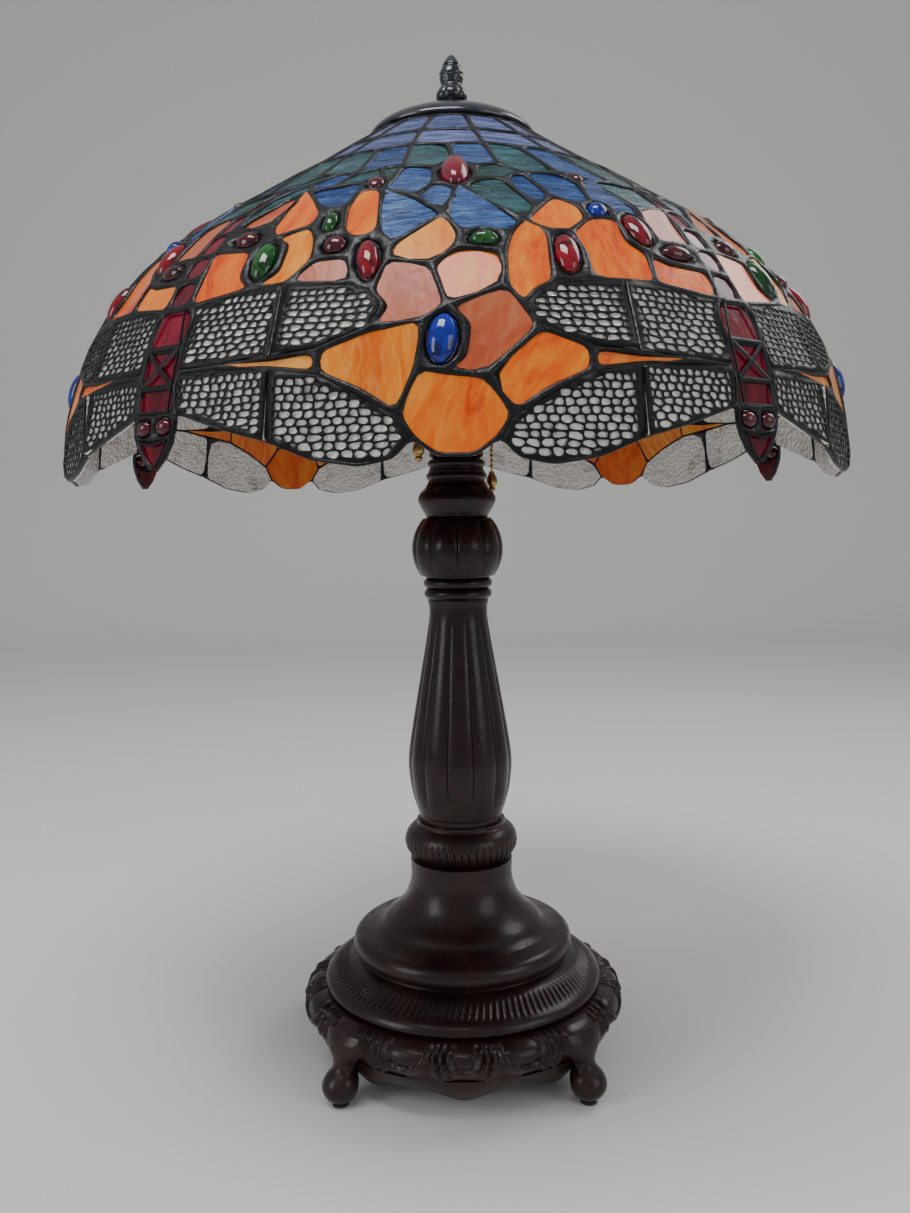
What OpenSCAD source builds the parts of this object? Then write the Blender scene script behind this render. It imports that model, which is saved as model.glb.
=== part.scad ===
// Table lamp with a leaded dragonfly shade on a dark cast stem.
// All sizes in mm. Origin at the centre of the base, on the table top. +Z up, front of the lamp is -Y.

/* [Shade] */
// Diameter of the glass dome at its lower rim
shade_d = 460; // [380:5:560]
// Diameter of the opening at the top of the dome
shade_top_d = 100; // [90:1:120]
// Slope of the upper cone below the horizontal
shade_pitch = 33; // [26:1:40]
// Bending radius of the lower part of the dome
shade_bend_r = 155; // [120:1:190]
// Number of repeats of the dragonfly pattern
repeats = 5; // [5:1:7]
// Width of the soldered line between two glass pieces
lead_w = 3.2; // [2.4:0.1:4.4]
// Height of the solder line over the glass, outside
lead_h = 2; // [1.2:0.1:3]
// Thickness of the sheet glass
glass_t = 2.4; // [2:0.1:3.2]

/* [Cap and finial] */
// Outside diameter of the vented cap
cap_d = 102; // [94:1:124]
// Height of the finial over the cap
finial_h = 33; // [26:1:44]
// Diameter of the spindle that carries the shade
spindle_d = 6.3; // [5:0.1:9]
// Rise of the finial for one turn
finial_pitch = 0.94; // [0.8:0.02:1.6]

/* [Stem] */
// Height of the underside of the shade seat over the table
seat_z = 562; // [500:1:680]
// Largest radius of the reeded vase
vase_r = 33.5; // [28:0.5:40]
// Largest radius of the pleated ball
ball_r = 29; // [25:0.5:36]
// Number of reeds round the vase
reeds = 12; // [8:2:24]
// Number of pleats round the ball
pleats = 10; // [6:2:28]
// Outside diameter of the threaded tube
tube_d = 9.6; // [9:0.1:13]

/* [Base] */
// Radius of the carved rim of the base
base_r = 103; // [90:1:124]
// How far out of the rim the circle of the ball feet lies
feet_out = 1; // [-3:0.5:6]
// Radius of each ball foot
foot_ball_r = 11; // [9:0.5:14]
// Wall of the base casting
wall = 4; // [3:0.5:6]

/* [Sockets] */
// Radius inside the screw shell, for a medium screw bulb
screw_r = 13; // [12.5:0.1:14]
// Tilt of each socket over the horizontal
socket_tilt = 40; // [25:1:60]
// Length of the pull chain below its switch
chain_l = 30; // [24:1:60]

/* [Hidden] */

// ---- shape of the dome ----
top_r = shade_top_d / 2;
rim_r = shade_d / 2;
cone_l = (rim_r - top_r - shade_bend_r * (1 - sin(shade_pitch))) / cos(shade_pitch);
bend_l = shade_bend_r * (90 - shade_pitch) * PI / 180;
skirt_l = 10.6;
dome_l = cone_l + bend_l + skirt_l;
dome_z = seat_z + 10;
// the pattern is drawn on a dome that measures 295.3 from top to rim
ks = dome_l / 295.3;
sector = 360 / repeats;
kt = sector / 72;

function slope(s) = s <= cone_l ? shade_pitch
    : min(90, shade_pitch + (s - cone_l) / shade_bend_r * 180 / PI);
function dome_r(s) = s <= cone_l ? top_r + s * cos(shade_pitch)
    : top_r + cone_l * cos(shade_pitch) + shade_bend_r * (sin(slope(s)) - sin(shade_pitch));
function dome_h(s) = s <= cone_l ? dome_z - s * sin(shade_pitch)
    : dome_z - cone_l * sin(shade_pitch) - shade_bend_r * (cos(shade_pitch) - cos(slope(s)))
      - max(0, s - cone_l - bend_l);
// point on the dome: angle t from the front, slant length s from the top, h outwards
function on_dome(t, s, h) =
    let(r = dome_r(s) + h * sin(slope(s)), z = dome_h(s) + h * cos(slope(s)))
    [r * sin(t), -r * cos(t), z];

// ---- pattern of one repeat: [angle from its middle, slant length] ----
// right wing of one dragonfly and half of its body; the left wing mirrors it
W = [[32.6, 217], [28, 208.5], [24.6, 206.8], [20, 206.5], [15.8, 207.2], [11.6, 208.8],
    [9.4, 213], [7.6, 220.5], [9.2, 231], [14.7, 239.5], [20, 241.5], [27, 243.5],
    [32.6, 244], [20, 247], [14.7, 249.8], [10, 258], [6, 268], [4.5, 278],
    [6.3, 286], [10, 289], [15, 286], [20, 278], [26, 271.5], [32.6, 263],
    [32.9, 233], [33, 250.5], [32.6, 272.5]];
M = [for (p = W) [-p[0], p[1]]];
// tail, body and head
T = [[33.8, 211.5], [-33.8, 211.5],
    [34, 195.5], [34.1, 180], [34.5, 164], [35.2, 147], [36.4, 131],
    [-34, 195.5], [-34, 180], [-33.8, 164], [-33.3, 147], [-32.9, 131], [-33.7, 117],
    [36, 263.5], [36, 274.5], [34.1, 282], [36, 288.5], [37.9, 282]];
// middle of the band
C = [[-0.8, 221], [1.4, 230], [0.9, 244], [-1.2, 250.5], [-3.9, 249], [-3.3, 228],
    [5.8, 211.5], [3.2, 252.5], [2, 285.5], [-2, 285.5], [-7.9, 196], [-2.6, 200],
    [0.2, 190], [6, 192], [-7.5, 186.5], [-1.2, 167], [0.9, 181], [3.4, 177.5],
    [7, 180.5], [9.2, 172], [12.2, 178], [15.2, 178], [16.3, 193], [11.8, 160],
    [14.8, 148.5], [18.4, 156], [18.6, 167], [23, 165.5], [23.2, 181], [25.3, 188.5],
    [25.6, 157.5], [28.2, 165], [28, 180.5], [27.4, 193], [31, 178.5], [21, 150.5],
    [23.6, 154], [28.8, 151.5]];
// left of the band
D = [[-27, 182], [-27, 198], [-24.5, 176], [-21.9, 182], [-21.9, 198], [-26.2, 166.5],
    [-30, 147], [-25.4, 131], [-18.8, 158], [-19.3, 170], [-17.8, 179], [-17.2, 193],
    [-15.6, 157], [-14.4, 177], [-14.8, 140], [-11.2, 140], [-9.6, 179], [-12.3, 183],
    [-12.6, 193], [-15.2, 127], [-12.7, 121], [-10.4, 127]];
// upper background and the two border rows
E = [[-3, 134], [-3.4, 108], [0.2, 97], [4.2, 107], [4.2, 130], [0.7, 141], [-10, 104],
    [-5.6, 150], [8.2, 127], [13, 116], [21, 114], [24.4, 110.5], [26, 119], [22.4, 128],
    [32, 115], [-27, 118], [-29, 102], [-24, 106], [-19, 109], [-14, 105], [-20.4, 129],
    [9.5, 102]];
F = [[-31, 64], [-21, 66], [-11.5, 63], [-1, 66], [9, 63], [18.5, 66], [28.5, 63],
    [-31, 34], [-12, 34], [8.5, 34], [28, 34], [-31, 0], [-12, 0], [8.5, 0], [28, 0]];
P = concat(W, M, T, C, D, E, F);
N = len(P);
// pieces as corner numbers; a number from N up is a corner of the next repeat
red_p = [[54, 56, 61 + N, 55 + N], [56, 57, 62 + N, 61 + N], [57, 58, 63 + N, 62 + N],
    [58, 59, 64 + N, 63 + N], [59, 60, 66 + N, 65 + N, 64 + N],
    [54, 0, 24, 51 + N, 27 + N, 55 + N], [24, 12, 25, 52 + N, 39 + N, 51 + N],
    [25, 23, 67, 50 + N, 52 + N], [26, 69, 70, 71, 53 + N, 68]];
wing_p = [[1, 54, 0, 24, 12, 11, 10, 3, 2], [3, 10, 9, 8, 7, 6, 5, 4],
    [12, 11, 13, 21, 22, 23, 25], [13, 14, 15, 16, 17, 18, 19, 20, 21],
    [28, 55, 27, 51, 39, 38, 37, 30, 29], [30, 37, 36, 35, 34, 33, 32, 31],
    [39, 38, 40, 48, 49, 50, 52], [40, 41, 42, 43, 44, 45, 46, 47, 48]];
orange_p = [[11, 10, 9, 14, 13], [76, 75, 79, 16, 17, 80, 81, 44, 43], [8, 9, 14, 15, 16, 79],
    [83, 84, 85, 78, 72], [78, 85, 90, 91, 92, 5, 6, 7], [93, 98, 99, 100, 101, 2, 3, 4, 94],
    [91, 95, 96, 97, 98, 93, 92], [101, 105, 56, 54, 1, 2], [62, 110, 111, 29, 28, 55, 61],
    [115, 117, 118, 119, 112], [122, 124, 125, 126, 127, 123]];
amber_p = [[36, 35, 77, 76, 43, 42, 41], [82, 86, 87, 88, 84, 83],
    [112, 119, 120, 121, 30, 29, 114, 113], [38, 37, 36, 41, 40]];
salmon_p = [[72, 78, 7, 8, 79, 75, 74, 73], [82, 83, 72, 77, 35, 34, 33],
    [109, 59, 58, 57, 106, 104, 103], [63, 116, 117, 115], [121, 128, 32, 31, 30]];
blue_p = [[138, 133, 132, 139, 125, 131], [125, 139, 87, 86, 126], [132, 137, 87, 139],
    [137, 91, 90, 89, 88, 87], [140, 141, 96, 95], [141, 142, 145, 107, 97, 96],
    [145, 144, 109, 103, 102, 99, 108, 107], [117, 152, 129, 124, 122, 118],
    [147, 149, 150, 152, 117], [155, 156, 138, 151, 150], [157, 158, 153, 135, 134],
    [159, 160, 146, 144, 143, 142]];
teal_p = [[137, 136, 140, 95, 91], [144, 146, 66 + N, 60, 59, 109], [63, 64, 65, 147, 117, 116],
    [65, 66, 148, 149, 147], [150, 151, 130, 129, 152], [151, 138, 131, 130],
    [135, 153, 141, 140, 136], [154, 155, 150, 149, 148], [156, 157, 134, 133, 138],
    [158, 159, 142, 141, 153], [160, 154 + N, 148 + N, 66 + N, 146]];
border_p = [[161, 162, 156, 155, 154], [162, 163, 158, 157, 156], [163, 164, 160, 159, 158],
    [164, 161 + N, 154 + N, 160], [165, 166, 162, 161], [166, 167, 163, 162],
    [167, 168, 164, 163], [168, 165 + N, 161 + N, 164]];
panes = concat(red_p, wing_p, orange_p, amber_p, salmon_p, blue_p, teal_p, border_p);
// jewels: [corners of the setting], [angle, slant], half width, half height, turn, crown
red_j = [[[92, 93, 94, 4, 5], [13.8, 192.5], 6.4, 12.6, -2, 5],
    [[99, 102, 103, 104, 101, 100], [25.6, 173], 6.4, 12.4, 4, 5],
    [[126, 86, 82, 33, 32, 128, 127], [-10.2, 195.5], 5.8, 12.8, 8, 5]];
garnet_j = [[[104, 106, 57, 56, 105, 101], [30.2, 186.5], 9.4, 5, 0, 4.5],
    [[63, 115, 112, 110, 62], [-29.2, 174], 7.4, 5.6, -6, 4.5],
    [[120, 123, 127, 128, 121], [-14.9, 185.5], 6, 5.6, 0, 4.5],
    [[124, 129, 130, 131, 125], [-12.9, 131], 4.8, 7, 0, 4],
    [[142, 143, 144, 145], [23.6, 118.2], 3.8, 5.4, 0, 3.5]];
green_j = [[[88, 89, 90, 85, 84], [3.8, 184.8], 7, 4.8, 0, 4.5],
    [[110, 112, 113, 114, 29, 111], [-24.4, 191], 6.2, 12.6, 3, 5],
    [[118, 122, 123, 120, 119], [-16.7, 168.3], 4, 8.2, 3, 4]];
blue_j = [[[72, 73, 74, 75, 76, 77], [-1.3, 236.2], 6.8, 12.2, -6, 5.5],
    [[98, 97, 107, 108, 99], [21, 159.5], 5.2, 6.2, 0, 4.5]];
eye_j = [[[23, 26, 68, 67], [34.3, 268.3], 5.4, 4.4, 0, 4],
    [[67, 68, 53 + N, 50 + N], [37.7, 268.3], 5.4, 4.4, 0, 4]];
cabochon_j = [[[132, 133, 134, 135, 136, 137], [0.4, 119], 7.6, 19, 0, 8]];
jewels = concat(red_j, garnet_j, green_j, blue_j, eye_j, cabochon_j);

// corner k of repeat j as [angle, slant]
function corner(k, j) = let(q = k >= N ? k - N : k, w = k >= N ? j + 1 : j)
    [P[q][0] * kt + w * sector, P[q][1] * ks];
// flat picture of a piece round [tc, sc] in mm
function flat(c, tc, sc) = [for (p = c) [dome_r(p[1]) * (p[0] - tc) * PI / 180, sc - p[1]]];
function back(q, tc, sc) = let(s = sc - q[1]) [tc + q[0] / dome_r(s) * 180 / PI, s];
function mean(v) = [for (i = [0, 1]) [for (p = v) p[i]] * [for (p = v) 1 / len(v)]];
function area(q) = let(n = len(q))
    [for (i = [0 : n - 1]) q[i][0] * q[(i + 1) % n][1] - q[(i + 1) % n][0] * q[i][1]] * [for (p = q) 0.5];
function unit(v) = v / norm(v);
function side_n(a, b) = let(d = unit(b - a)) [-d[1], d[0]];
// polygon moved inwards by d on every side
function inset(q, d) = let(n = len(q), k = area(q) > 0 ? d : -d)
    [for (i = [0 : n - 1])
        let(a = side_n(q[(i + n - 1) % n], q[i]), b = side_n(q[i], q[(i + 1) % n]))
        q[i] + k * (a + b) / max(0.15, 1 + a * b)];
function oval(f, a, b, turn) = let(c = cos(f - turn), s = sin(f - turn))
    a * b / sqrt(b * b * c * c + a * a * s * s) * [cos(f), sin(f)];
function ang(p) = atan2(p[1], p[0]);
function mid_ang(p, q) = let(a = ang(p), d = ang(q) - a)
    a + (d > 180 ? d - 360 : d < -180 ? d + 360 : d) / 2;

// one closed net of solder lines round the holes of a list of pieces.
// Every piece brings its own slopes; corners are shared, so the net is one solid.
module net(nodes, faces, gems, rep, w, ht, hb, hm) {
    nn = len(nodes);
    js = [for (j = rep) j];
    function cor(k, j) = let(q = k >= nn ? k - nn : k, v = k >= nn ? j + 1 : j)
        [nodes[q][0] * kt + v * sector, nodes[q][1] * ks];
    function id(k, j) = let(q = k >= nn ? k - nn : k, v = k >= nn ? j + 1 : j)
        (len(js) == repeats ? v % repeats : v - js[0]) * nn + q;
    tops = [for (j = js) for (k = [0 : nn - 1]) let(c = cor(k, j)) on_dome(c[0], c[1], ht)];
    lows = [for (j = js) for (k = [0 : nn - 1]) let(c = cor(k, j)) on_dome(c[0], c[1], -hb)];
    nt = len(tops);
    rings = [for (j = js) for (f = faces)
        let(c = [for (k = f) cor(k, j)], m = mean(c), q = inset(flat(c, m[0], m[1]), w / 2))
        [for (p = q) let(b = back(p, m[0], m[1])) on_dome(b[0], b[1], hm)]];
    grings = [for (j = js) for (g = gems)
        let(c = [for (k = g[0]) cor(k, j)], tc = g[1][0] * kt + j * sector, sc = g[1][1] * ks,
            q = flat(c, tc, sc), n = len(q))
        [for (i = [0 : 2 * n - 1])
            let(f = i % 2 == 0 ? ang(q[i / 2]) : mid_ang(q[(i - 1) / 2], q[((i + 1) / 2) % n]),
                b = back(oval(f, g[2], g[3], g[4]), tc, sc))
            on_dome(b[0], b[1], hm)]];
    nf = len(faces);
    ng = len(gems);
    starts = [for (a = 0, i = 0; i < len(rings); a = a + len(rings[i]), i = i + 1) a];
    gstarts = [for (a = 0, i = 0; i < len(grings); a = a + len(grings[i]), i = i + 1) a];
    nr = [for (r = rings) len(r)] * [for (r = rings) 1];
    pts = concat(tops, lows, [for (r = rings) each r], [for (r = grings) each r]);
    // direction of each piece: true when its corners run anticlockwise seen from outside
    function turns_left(f) = let(c = [for (k = f) cor(k, js[0])], m = mean(c)) area(flat(c, m[0], m[1])) > 0;
    ccw = [for (f = faces) turns_left(f)];
    gccw = [for (g = gems) turns_left(g[0])];
    // every side as [from, to] seen anticlockwise, to find the free ones
    sides = [for (jj = [0 : len(js) - 1]) each concat(
        [for (i = [0 : nf - 1]) let(f = faces[i], n = len(f)) for (a = [0 : n - 1])
            let(p = id(f[a], js[jj]), q = id(f[(a + 1) % n], js[jj])) ccw[i] ? [p, q] : [q, p]],
        ng == 0 ? [] : [for (i = [0 : ng - 1]) let(f = gems[i][0], n = len(f)) for (a = [0 : n - 1])
            let(p = id(f[a], js[jj]), q = id(f[(a + 1) % n], js[jj])) gccw[i] ? [p, q] : [q, p]])];
    keys = [for (e = sides) e[0] * nt + e[1]];
    lone = [for (e = sides) if (len(search(e[1] * nt + e[0], keys)) == 0) e];
    tri = concat(
        [for (jj = [0 : len(js) - 1]) for (i = [0 : nf - 1])
            let(f = faces[i], n = len(f), s = 2 * nt + starts[jj * nf + i])
            for (a = [0 : n - 1])
                let(b = (a + 1) % n, p = id(f[a], js[jj]), q = id(f[b], js[jj]),
                    up = [[p, q, s + b], [p, s + b, s + a]],
                    dn = [[p + nt, s + b, q + nt], [p + nt, s + a, s + b]])
                each (ccw[i] ? [for (t = concat(up, dn)) [t[2], t[1], t[0]]] : concat(up, dn))],
        ng == 0 ? [] : [for (jj = [0 : len(js) - 1]) for (i = [0 : ng - 1])
            let(f = gems[i][0], n = len(f), s = 2 * nt + nr + gstarts[jj * ng + i])
            for (a = [0 : n - 1])
                let(b = (a + 1) % n, p = id(f[a], js[jj]), q = id(f[b], js[jj]),
                    x = s + 2 * a, y = x + 1, z = s + 2 * b,
                    up = [[p, q, y], [p, y, x], [q, z, y]],
                    dn = [[p + nt, y, q + nt], [p + nt, x, y], [q + nt, y, z]])
                each (gccw[i] ? [for (t = concat(up, dn)) [t[2], t[1], t[0]]] : concat(up, dn))],
        [for (e = lone) each [[e[0], e[1], e[1] + nt], [e[0], e[1] + nt, e[0] + nt]]]);
    polyhedron(pts, tri, 4);
}

// flat sheet of glass for one piece, lying in its hole
module pane(f, j, t, gap) {
    c = [for (k = f) corner(k, j)];
    m = mean(c);
    q = inset(flat(c, m[0], m[1]), lead_w / 2 + gap);
    hs = [for (p = q) let(b = back(p, m[0], m[1])) b];
    o = on_dome(m[0], m[1], 0);
    n = unit(on_dome(m[0], m[1], 1) - o);
    u = [cos(m[0]), sin(m[0]), 0];
    v = cross(n, u);
    x = [for (b = hs) on_dome(b[0], b[1], 0) - o];
    lift = ([for (d = x) d * n] * [for (d = x) 1 / len(x)]);
    multmatrix([[u[0], v[0], n[0], o[0]], [u[1], v[1], n[1], o[1]], [u[2], v[2], n[2], o[2]]])
        translate([0, 0, lift - t / 2])
            linear_extrude(t) polygon([for (d = x) [d * u, d * v]]);
}
module sheet(list, t) {
    for (j = [0 : repeats - 1]) for (f = list) pane(f, j, t, 0.06);
}
// pressed glass jewel, domed on both sides, widest just over the middle of the lead.
// It is kept inside the straight sides of its setting.
function gem_k(g) = let(c = [for (k = g[0]) corner(k, 0)], tc = g[1][0] * kt, sc = g[1][1] * ks,
        q = flat(c, tc, sc), n = len(q),
        r = [for (i = [0 : 2 * n - 1])
            let(f = i % 2 == 0 ? ang(q[i / 2]) : mid_ang(q[(i - 1) / 2], q[((i + 1) / 2) % n]) )
            let(p = oval(f, g[2], g[3], g[4]), c = cos(g[4]), s = sin(g[4]))
            [(p[0] * c + p[1] * s) / g[2], (p[1] * c - p[0] * s) / g[3]]])
    min([for (i = [0 : 2 * n - 1]) norm(r[i] + r[(i + 1) % (2 * n)]) / 2]);
module gem(g, j) {
    t = g[1][0] * kt + j * sector;
    s = g[1][1] * ks;
    k = gem_k(g) - 0.015;
    o = on_dome(t, s, 0);
    nv = unit(on_dome(t, s, 1) - o);
    u = [cos(t), sin(t), 0];
    v = cross(nv, u);
    multmatrix([[u[0], v[0], nv[0], o[0]], [u[1], v[1], nv[1], o[1]], [u[2], v[2], nv[2], o[2]]])
        translate([0, 0, 0.4]) rotate(g[4]) scale([g[2] * k, g[3] * k, g[5] - 0.4]) sphere(r = 1, $fn = 32);
}
module gems(list) {
    for (j = [0 : repeats - 1]) for (g = list) gem(g, j);
}

// ---- nets of the etched metal plates laid over wings and bodies ----
WF = [[32.3, 218], [32.3, 230], [32.3, 242.6], [28, 210.2], [28, 226], [27.6, 242.2],
    [24.2, 208.4], [24.2, 224.5], [24, 241.2], [20, 207.8], [20, 224], [20, 240.6],
    [15.5, 208.8], [15.5, 223], [15.2, 238.5], [11.4, 210.8], [11.4, 221.5], [11, 232.6],
    [8.2, 221.5], [32.3, 245.8], [32.3, 254.5], [32.3, 262.6], [26.5, 245.2], [26.4, 257],
    [26.2, 270], [20, 248.4], [20, 262], [20, 276.4], [15, 251.4], [15, 267.5], [15, 284.4],
    [10.3, 259.6], [10.3, 273], [10.3, 287.6], [6.4, 269], [5.3, 278], [7, 285.4]];
WN = len(WF);
wing_cells = [[0, 1, 4, 3], [1, 2, 5, 4], [3, 4, 7, 6], [4, 5, 8, 7], [6, 7, 10, 9], [7, 8, 11, 10],
    [9, 10, 13, 12], [10, 11, 14, 13], [12, 13, 16, 15], [13, 14, 17, 16], [15, 16, 18],
    [16, 17, 18], [19, 20, 23, 22], [20, 21, 24, 23], [22, 23, 26, 25], [23, 24, 27, 26],
    [25, 26, 29, 28], [26, 27, 30, 29], [28, 29, 32, 31], [29, 30, 33, 32], [31, 32, 35, 34],
    [32, 33, 36, 35]];
BF = [[34.1, 213], [37.9, 213], [33.1, 232], [38.9, 232], [36, 241.5], [33.2, 250.5],
    [38.8, 250.5], [33.4, 262.2], [38.6, 262.2], [36, 262.2], [33.4, 273.6], [36, 275.6],
    [38.6, 273.6], [34.5, 282], [36, 287.4], [37.5, 282]];
body_cells = [[0, 1, 3, 2], [2, 3, 4], [2, 4, 5], [3, 6, 4], [4, 6, 5], [5, 6, 8, 9, 7],
    [10, 11, 12, 15, 14, 13]];
plate_z = lead_h + 0.15;
// the wing plates stand over the corners of the flat wing panes
wing_plate_z = lead_h + 2;
plate_t = 0.7;

// ---- turned parts ----
// smooth line through hand-set points, n steps between two of them
function smooth(p, n) = let(m = len(p)) concat([for (i = [0 : m - 2]) for (k = [0 : n - 1])
    let(a = p[max(0, i - 1)], b = p[i], c = p[i + 1], d = p[min(m - 1, i + 2)], u = k / n)
    0.5 * (2 * b + (c - a) * u + (2 * a - 5 * b + 4 * c - d) * u * u
        + (3 * b - a - 3 * c + d) * u * u * u)], [p[m - 1]]);
module turned(p, bore) {
    rotate_extrude($fn = 96)
        polygon(concat([[bore, p[0][1]]], p, [[bore, p[len(p) - 1][1]]]));
}
module ring(r, z, a) {
    rotate_extrude($fn = 96) translate([r, z]) circle(r = a, $fn = 32);
}
module tube(ro, ri, h) {
    difference() {
        cylinder(r = ro, h = h, $fn = 64);
        translate([0, 0, -1]) cylinder(r = ri, h = h + 2, $fn = 64);
    }
}
tube_r = tube_d / 2;
bore_r = tube_r + 0.25;
// heights of the joints between the stem pieces
z_base = 124;
z_collar = 151;
z_vase = 294;
z_rings = 308;
z_ball = 346;
z_neck = 382;
z_cluster = 398;
// felt pads, and the bushing for the cord at the back of the base
pad_t = 1.5;
feet_r = base_r + feet_out;
bush_z = 34.5;
bush_r = 4.85;
cord_r = 3.2;

module foot_pads() {
    for (a = [45 : 90 : 315]) rotate(a) translate([feet_r, 0, 0]) cylinder(r = 5, h = pad_t, $fn = 48);
}
module base_shell() {
    // bell, three tiers and carved rim, turned in one
    turned(concat([[base_r - 6, 20], [base_r - 5.5, 25], [base_r - 1.5, 29]],
        smooth([[base_r + 0.6, 33], [base_r + 0.8, 38], [base_r - 1.5, 42]], 4),
        [[base_r - 5, 44.5], [base_r - 11, 45.5], [base_r - 13, 47]],
        smooth([[base_r - 13, 49.5], [base_r - 15.5, 52.5], [base_r - 23, 57], [72, 62.5], [66, 65]], 3),
        [[62, 66], [62, 78]],
        smooth([[57, 80.5], [53, 83.5], [49.5, 87.5], [43, 93], [37, 100.5], [33, 109.5], [31.5, 117]], 3),
        [[33, 119.5], [33, z_base]]), 0);
    ring(64, 72, 6.8);
}
module base_room() {
    // hollow inside the casting
    turned([for (p = [[base_r - 6, 19], [base_r - 6, 27], [base_r - 1, 32], [base_r - 1, 37],
        [base_r - 5, 40.5], [base_r - 13, 42], [base_r - 15, 48], [70, 58], [62, 62], [62, 75],
        [52, 82.5], [44, 90], [36, 101], [31.5, 110], [31, z_base - 6]]) [p[0] - wall, p[1]]], 0);
}
// four legs with ball feet, cut flat over the pads
module legs() {
    difference() {
        for (a = [45 : 90 : 315]) rotate(a) {
            translate([feet_r, 0, foot_ball_r + 1.3]) sphere(r = foot_ball_r, $fn = 48);
            translate([feet_r - 1, 0, foot_ball_r + 6]) cylinder(r1 = 6.5, r2 = 11.5, h = 24, $fn = 48);
            translate([feet_r - 6, 0, 33]) sphere(r = 13, $fn = 48);
        }
        translate([0, 0, pad_t - 20]) cylinder(r = base_r + 40, h = 20, $fn = 64);
    }
}
// scalloped apron between the feet
module apron() {
    intersection() {
        rotate_extrude($fn = 96) translate([base_r - 9.5, 9]) square([5, 13]);
        union() {
            for (a = [0 : 90 : 270]) rotate(a) translate([0, 0, 30]) rotate([0, 90, 0])
                cylinder(r = 17, h = base_r + 10, $fn = 64);
            for (a = [0 : 90 : 270]) for (b = [-26, 26]) rotate(a + b) translate([0, 0, 28])
                rotate([0, 90, 0]) cylinder(r = 12, h = base_r + 10, $fn = 64);
        }
    }
}
module base_casting() {
    difference() {
        union() {
            base_shell();
            apron();
            legs();
        }
        base_room();
        translate([0, 0, 90]) cylinder(r = tube_r + 0.2, h = 60, $fn = 64);
        // hole for the cord bushing at the back
        translate([0, base_r - 20, bush_z]) rotate([-90, 0, 0]) cylinder(r = bush_r + 0.15, h = 40, $fn = 48);
    }
}
module ballast_disc() {
    rotate_extrude($fn = 96)
        polygon([[16, 23.2], [base_r - 20 - wall, 23.2], [base_r - 20 - wall, 33], [16, 33]]);
}
module base_cover() {
    difference() {
        translate([0, 0, 20]) cylinder(r = base_r - 6.2 - wall, h = 3, $fn = 96);
        translate([0, 0, 10]) cylinder(r = 12, h = 20, $fn = 64);
    }
}
module cord_bushing() {
    translate([0, base_r - 9.5, bush_z]) rotate([-90, 0, 0]) {
        tube(bush_r, cord_r, 12);
        translate([0, 0, 12]) tube(bush_r + 2.4, cord_r, 3);
    }
}
module lamp_tube() {
    translate([0, 0, 100]) tube(tube_r, tube_r - 1.4, z_cluster - 10 - 100);
}
module tube_washer() {
    translate([0, 0, z_base - 8]) tube(13, bore_r, 2);
}
module tube_nut() {
    translate([0, 0, z_base - 14]) difference() {
        cylinder(r = 8.8, h = 6, $fn = 6);
        translate([0, 0, -1]) cylinder(r = bore_r, h = 8, $fn = 64);
    }
}
module base_collar() {
    difference() {
        union() {
            turned([[33, z_base], [33, z_base + 2], [26, z_base + 3], [26, z_collar - 3],
                [29, z_collar - 2], [29, z_collar]], bore_r);
            ring(24.5, 137.5, 12);
        }
        // hollow under the top flange
        translate([0, 0, z_base - 1]) cylinder(r = 17, h = z_collar - z_base - 3, $fn = 64);
        for (i = [0 : pleats - 1]) rotate(i * 360 / pleats) translate([37.1, 0, z_base - 4])
            cylinder(r = 1.5, h = 40, $fn = 24);
    }
}
module stem_vase() {
    difference() {
        turned(concat([[26.5, z_collar], [26.5, z_collar + 3]],
            smooth([[28, 158], [31, 168], [vase_r - 0.6, 178], [vase_r, 186]], 4), [[vase_r - 0.2, 190]],
            [[20.4, 268]], smooth([[19, 276], [18.2, 284], [18.8, 290]], 3), [[19.5, z_vase]]), bore_r);
        // hollow of the casting, open at the bottom
        translate([0, 0, z_collar - 1]) cylinder(r1 = 22, r2 = 13, h = z_vase - 7 - z_collar, $fn = 64);
        for (i = [0 : reeds - 1]) rotate(i * 360 / reeds) {
            // flute along the upper cone
            translate([vase_r + 0.4, 0, 190]) rotate([0, -atan((vase_r - 20.2) / 78), 0])
                cylinder(r = 1.5, h = 77, $fn = 24);
            translate([vase_r + 0.4, 0, 190]) sphere(r = 1.5, $fn = 24);
        }
    }
}
module stem_rings() {
    difference() {
        union() {
            translate([0, 0, z_vase]) cylinder(r = 18, h = z_rings - z_vase, $fn = 96);
            ring(18, z_vase + 3.7, 3.6);
            ring(18.4, z_vase + 10.4, 3.5);
        }
        translate([0, 0, z_vase - 10]) cylinder(r = bore_r, h = 40, $fn = 64);
    }
}
module stem_ball() {
    difference() {
        turned(concat([[20.5, z_rings], [20.5, z_rings + 1]],
            [for (i = [0 : 12]) let(a = -35 + i * 6.5) [ball_r * cos(a), 326 + ball_r * sin(a)]],
            [[19.5, z_ball]]), bore_r);
        translate([0, 0, z_rings - 1]) cylinder(r = 13, h = z_ball - z_rings - 3, $fn = 64);
        for (i = [0 : pleats - 1]) rotate(i * 360 / pleats) translate([ball_r + 0.7, 0, z_rings - 2])
            cylinder(r = 1.6, h = 50, $fn = 24);
    }
}
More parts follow.
